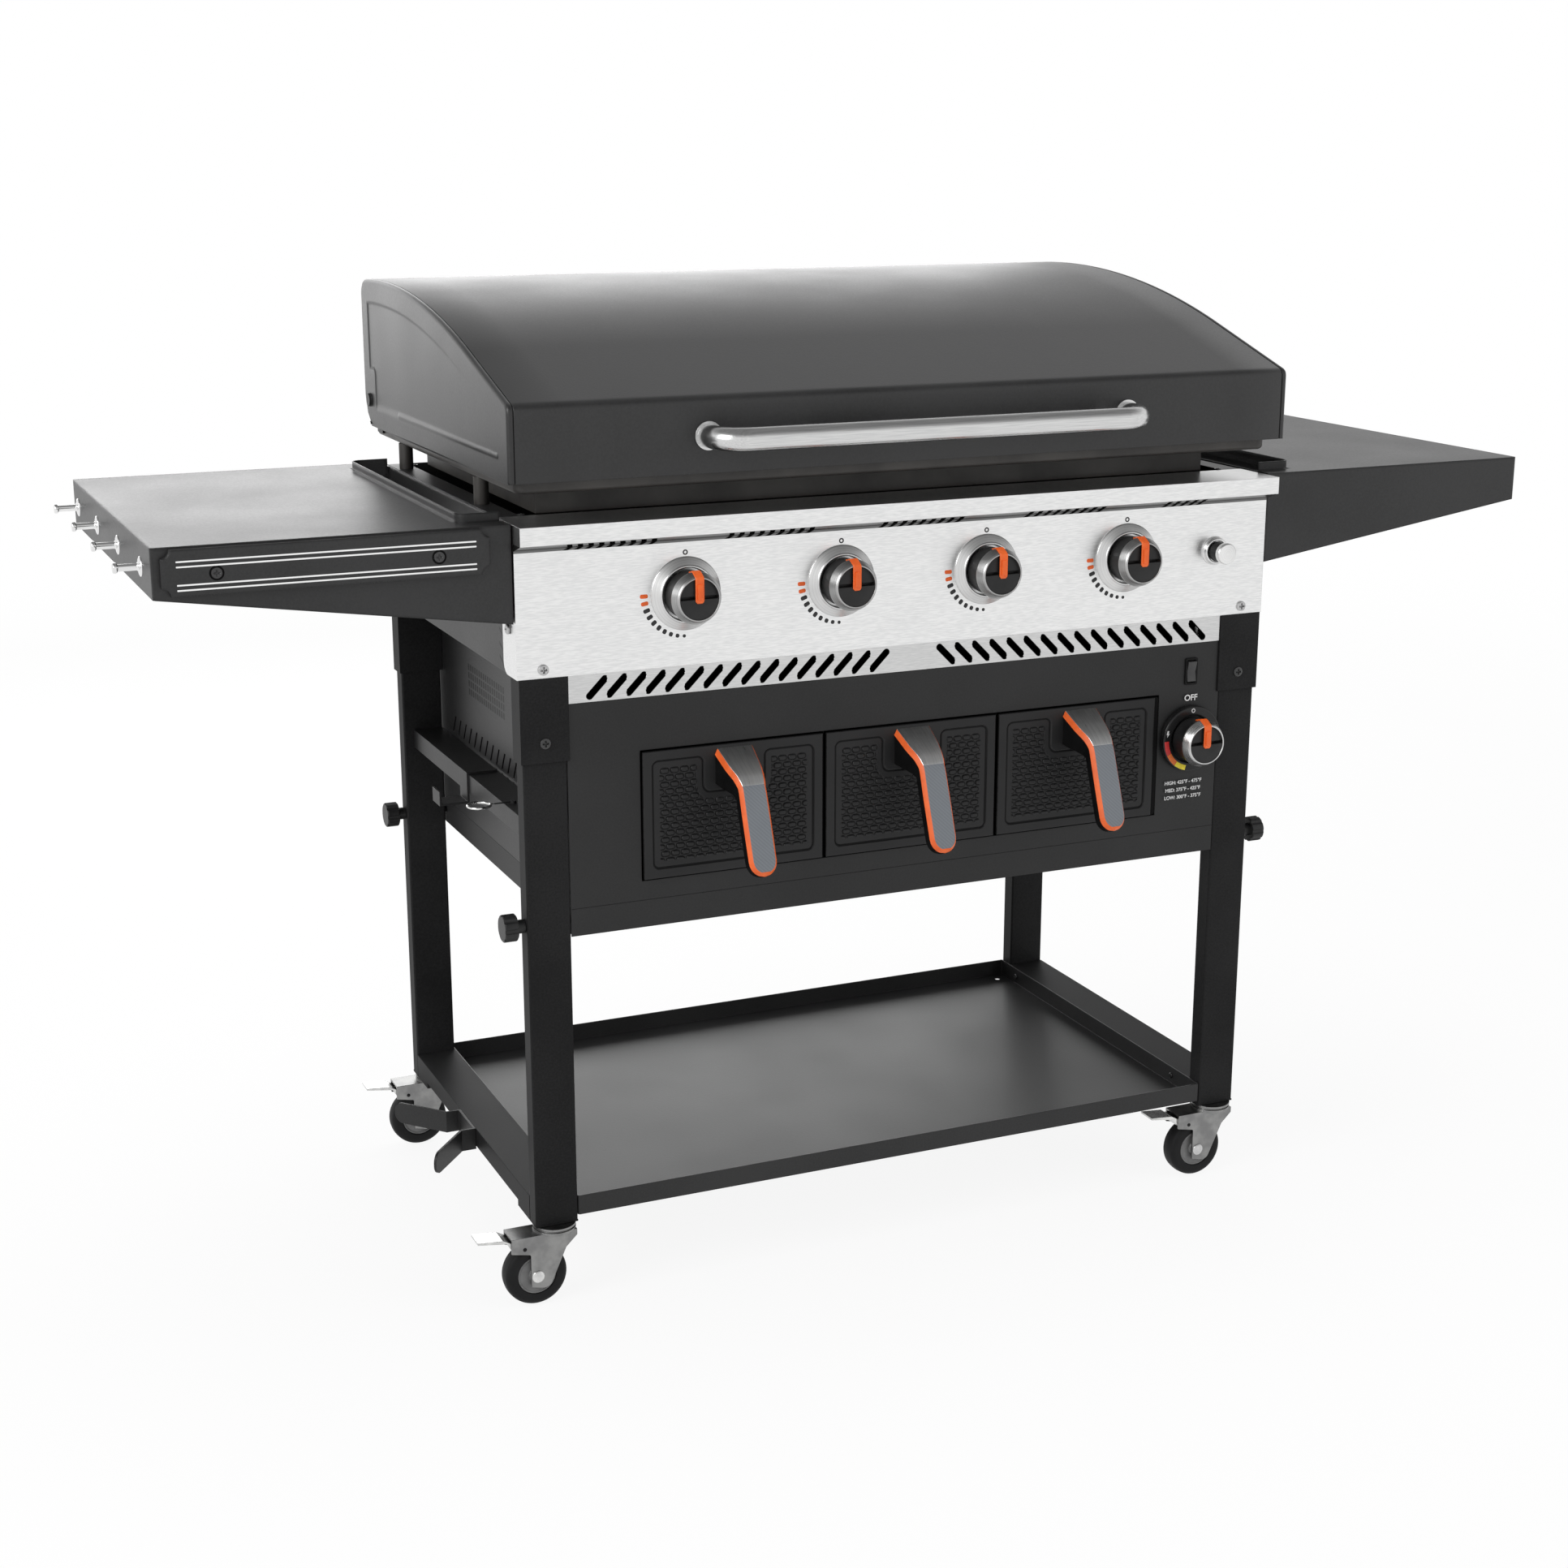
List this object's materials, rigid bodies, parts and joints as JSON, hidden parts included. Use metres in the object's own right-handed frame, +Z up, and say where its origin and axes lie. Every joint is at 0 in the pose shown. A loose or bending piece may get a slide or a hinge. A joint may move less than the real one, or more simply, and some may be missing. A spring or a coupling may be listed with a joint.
{
  "type": "outdoor gas griddle station",
  "caption": "Hooded flat-top gas griddle on a wheeled stand with front controls, drawers below it, a storage tray and a folding-edge work shelf on each side.",
  "frame": {"origin": "on the floor under the middle of the whole object's bounding box", "axes": "+X to the right seen from the front, +Y from the front towards the back, +Z up"},
  "size_m": [1.7282, 0.6686, 1.13],
  "materials": {
    "black_steel": "matt black powder coat",
    "stainless": "brushed stainless sheet",
    "bare_steel": "plain steel sheet",
    "griddle_steel": "oiled dark steel plate",
    "drawer_steel": "matt black sheet",
    "zinc": "zinc plated",
    "chrome_wire": "chromed wire",
    "chrome_screw": "bright screw heads",
    "knob_plastic": "matt black plastic",
    "handle_plastic": "matt black plastic",
    "switch_plastic": "glossy black plastic",
    "wheel_rubber": "dark grey tyre"
  },
  "bodies": {
    "stand": {"legs": "black_steel", "leg_sockets": "black_steel", "bottom_frame": "black_steel", "bottom_shelf": "black_steel", "fryer_base": "black_steel", "fryer_panel": "black_steel", "vent_strip": "stainless", "fryer_cabinet": "black_steel", "drawer_bay": "bare_steel", "switch_housing": "switch_plastic", "burner_box": "black_steel", "front_panel": "stainless", "bezels": "stainless", "gas_train": "zinc", "burners": "bare_steel", "griddle_plate": "griddle_steel", "hinges": "black_steel", "left_shelf": "black_steel", "right_shelf": "black_steel", "tool_bar": "black_steel", "utensil_hooks": "chrome_wire", "tank_fittings": "black_steel", "screws": "chrome_screw"},
    "hood": {"hood_shell": "black_steel", "hood_handle": "stainless"},
    "burner_1_stem": {"burner_1_stem": "zinc"},
    "burner_1_knob": {"burner_1_knob": "knob_plastic"},
    "burner_2_stem": {"burner_2_stem": "zinc"},
    "burner_2_knob": {"burner_2_knob": "knob_plastic"},
    "burner_3_stem": {"burner_3_stem": "zinc"},
    "burner_3_knob": {"burner_3_knob": "knob_plastic"},
    "burner_4_stem": {"burner_4_stem": "zinc"},
    "burner_4_knob": {"burner_4_knob": "knob_plastic"},
    "fryer_stem": {"fryer_stem": "zinc"},
    "fryer_knob": {"fryer_knob": "knob_plastic"},
    "igniter": {"igniter_button": "knob_plastic"},
    "rocker": {"rocker_switch": "switch_plastic"},
    "drawer_1": {"drawer_1": "drawer_steel", "drawer_handle_1": "handle_plastic"},
    "drawer_2": {"drawer_2": "drawer_steel", "drawer_handle_2": "handle_plastic"},
    "drawer_3": {"drawer_3": "drawer_steel", "drawer_handle_3": "handle_plastic"},
    "left_front_fork": {"left_front_fork": "zinc"},
    "left_front_wheel": {"left_front_wheel": "wheel_rubber"},
    "left_front_pedal": {"left_front_pedal": "zinc"},
    "left_front_hand_knob": {"left_front_hand_knob": "knob_plastic"},
    "left_rear_fork": {"left_rear_fork": "zinc"},
    "left_rear_wheel": {"left_rear_wheel": "wheel_rubber"},
    "left_rear_pedal": {"left_rear_pedal": "zinc"},
    "left_rear_hand_knob": {"left_rear_hand_knob": "knob_plastic"},
    "right_front_fork": {"right_front_fork": "zinc"},
    "right_front_wheel": {"right_front_wheel": "wheel_rubber"},
    "right_front_pedal": {"right_front_pedal": "zinc"},
    "right_front_hand_knob": {"right_front_hand_knob": "knob_plastic"},
    "right_rear_fork": {"right_rear_fork": "zinc"},
    "right_rear_wheel": {"right_rear_wheel": "wheel_rubber"},
    "right_rear_pedal": {"right_rear_pedal": "zinc"},
    "right_rear_hand_knob": {"right_rear_hand_knob": "knob_plastic"},
    "grease_cup": {"grease_cup": "bare_steel"}
  },
  "joints": [
    {"name": "hood_hinge", "type": "hinge", "parent": "stand", "child": "hood", "pos_m": [0.01415, 0.30525, 0.982], "axis": [-1, 0, 0], "range_deg": [0, 90]},
    {"name": "burner_1_push", "type": "slide", "parent": "stand", "child": "burner_1_stem", "axis": [0, 1, 0], "range_m": [0, 0.003], "stiffness_N_per_m": 200},
    {"name": "burner_1_turn", "type": "hinge", "parent": "burner_1_stem", "child": "burner_1_knob", "pos_m": [-0.26535, -0.25975, 0.8176], "axis": [0, -1, 0], "range_deg": [0, 180]},
    {"name": "burner_2_push", "type": "slide", "parent": "stand", "child": "burner_2_stem", "axis": [0, 1, 0], "range_m": [0, 0.003], "stiffness_N_per_m": 200},
    {"name": "burner_2_turn", "type": "hinge", "parent": "burner_2_stem", "child": "burner_2_knob", "pos_m": [-0.07785, -0.25975, 0.8176], "axis": [0, -1, 0], "range_deg": [0, 180]},
    {"name": "burner_3_push", "type": "slide", "parent": "stand", "child": "burner_3_stem", "axis": [0, 1, 0], "range_m": [0, 0.003], "stiffness_N_per_m": 200},
    {"name": "burner_3_turn", "type": "hinge", "parent": "burner_3_stem", "child": "burner_3_knob", "pos_m": [0.10615, -0.25975, 0.8176], "axis": [0, -1, 0], "range_deg": [0, 180]},
    {"name": "burner_4_push", "type": "slide", "parent": "stand", "child": "burner_4_stem", "axis": [0, 1, 0], "range_m": [0, 0.003], "stiffness_N_per_m": 200},
    {"name": "burner_4_turn", "type": "hinge", "parent": "burner_4_stem", "child": "burner_4_knob", "pos_m": [0.29365, -0.25975, 0.8176], "axis": [0, -1, 0], "range_deg": [0, 180]},
    {"name": "fryer_push", "type": "slide", "parent": "stand", "child": "fryer_stem", "axis": [0, 1, 0], "range_m": [0, 0.003], "stiffness_N_per_m": 200},
    {"name": "fryer_turn", "type": "hinge", "parent": "fryer_stem", "child": "fryer_knob", "pos_m": [0.39315, -0.25975, 0.588], "axis": [0, -1, 0], "range_deg": [0, 190]},
    {"name": "igniter_push", "type": "slide", "parent": "stand", "child": "igniter", "axis": [0, 1, 0], "range_m": [0, 0.005], "stiffness_N_per_m": 300},
    {"name": "rocker_tilt", "type": "hinge", "parent": "stand", "child": "rocker", "pos_m": [0.39265, -0.23675, 0.671], "axis": [-1, 0, 0], "range_deg": [0, 12]},
    {"name": "drawer_1_slide", "type": "slide", "parent": "stand", "child": "drawer_1", "axis": [0, -1, 0], "range_m": [0, 0.25]},
    {"name": "drawer_2_slide", "type": "slide", "parent": "stand", "child": "drawer_2", "axis": [0, -1, 0], "range_m": [0, 0.25]},
    {"name": "drawer_3_slide", "type": "slide", "parent": "stand", "child": "drawer_3", "axis": [0, -1, 0], "range_m": [0, 0.25]},
    {"name": "left_front_swivel", "type": "hinge", "parent": "stand", "child": "left_front_fork", "pos_m": [-0.4306, -0.22775, 0.09], "axis": [0, 0, 1], "continuous": true},
    {"name": "left_front_roll", "type": "hinge", "parent": "left_front_fork", "child": "left_front_wheel", "pos_m": [-0.4562, -0.22775, 0.0375], "axis": [0, 1, 0], "continuous": true},
    {"name": "left_front_brake", "type": "hinge", "parent": "left_front_fork", "child": "left_front_pedal", "pos_m": [-0.4806, -0.22775, 0.078], "axis": [0, -1, 0], "range_deg": [0, 14]},
    {"name": "left_front_clamp", "type": "hinge", "parent": "stand", "child": "left_front_hand_knob", "pos_m": [-0.4306, -0.22775, 0.456], "axis": [1, 0, 0], "continuous": true},
    {"name": "left_rear_swivel", "type": "hinge", "parent": "stand", "child": "left_rear_fork", "pos_m": [-0.4306, 0.27095, 0.09], "axis": [0, 0, 1], "continuous": true},
    {"name": "left_rear_roll", "type": "hinge", "parent": "left_rear_fork", "child": "left_rear_wheel", "pos_m": [-0.4562, 0.27095, 0.0375], "axis": [0, 1, 0], "continuous": true},
    {"name": "left_rear_brake", "type": "hinge", "parent": "left_rear_fork", "child": "left_rear_pedal", "pos_m": [-0.4806, 0.27095, 0.078], "axis": [0, -1, 0], "range_deg": [0, 14]},
    {"name": "left_rear_clamp", "type": "hinge", "parent": "stand", "child": "left_rear_hand_knob", "pos_m": [-0.4306, 0.27095, 0.456], "axis": [1, 0, 0], "continuous": true},
    {"name": "right_front_swivel", "type": "hinge", "parent": "stand", "child": "right_front_fork", "pos_m": [0.4589, -0.22775, 0.09], "axis": [0, 0, 1], "continuous": true},
    {"name": "right_front_roll", "type": "hinge", "parent": "right_front_fork", "child": "right_front_wheel", "pos_m": [0.4333, -0.22775, 0.0375], "axis": [0, 1, 0], "continuous": true},
    {"name": "right_front_brake", "type": "hinge", "parent": "right_front_fork", "child": "right_front_pedal", "pos_m": [0.4089, -0.22775, 0.078], "axis": [0, -1, 0], "range_deg": [0, 14]},
    {"name": "right_front_clamp", "type": "hinge", "parent": "stand", "child": "right_front_hand_knob", "pos_m": [0.4589, -0.22775, 0.456], "axis": [1, 0, 0], "continuous": true},
    {"name": "right_rear_swivel", "type": "hinge", "parent": "stand", "child": "right_rear_fork", "pos_m": [0.4589, 0.27095, 0.09], "axis": [0, 0, 1], "continuous": true},
    {"name": "right_rear_roll", "type": "hinge", "parent": "right_rear_fork", "child": "right_rear_wheel", "pos_m": [0.4333, 0.27095, 0.0375], "axis": [0, 1, 0], "continuous": true},
    {"name": "right_rear_brake", "type": "hinge", "parent": "right_rear_fork", "child": "right_rear_pedal", "pos_m": [0.4089, 0.27095, 0.078], "axis": [0, -1, 0], "range_deg": [0, 14]},
    {"name": "right_rear_clamp", "type": "hinge", "parent": "stand", "child": "right_rear_hand_knob", "pos_m": [0.4589, 0.27095, 0.456], "axis": [1, 0, 0], "continuous": true},
    {"name": "grease_cup_lift_off", "type": "slide", "parent": "stand", "child": "grease_cup", "axis": [0, 1, 0], "range_m": [0, 0.08]}
  ]
}
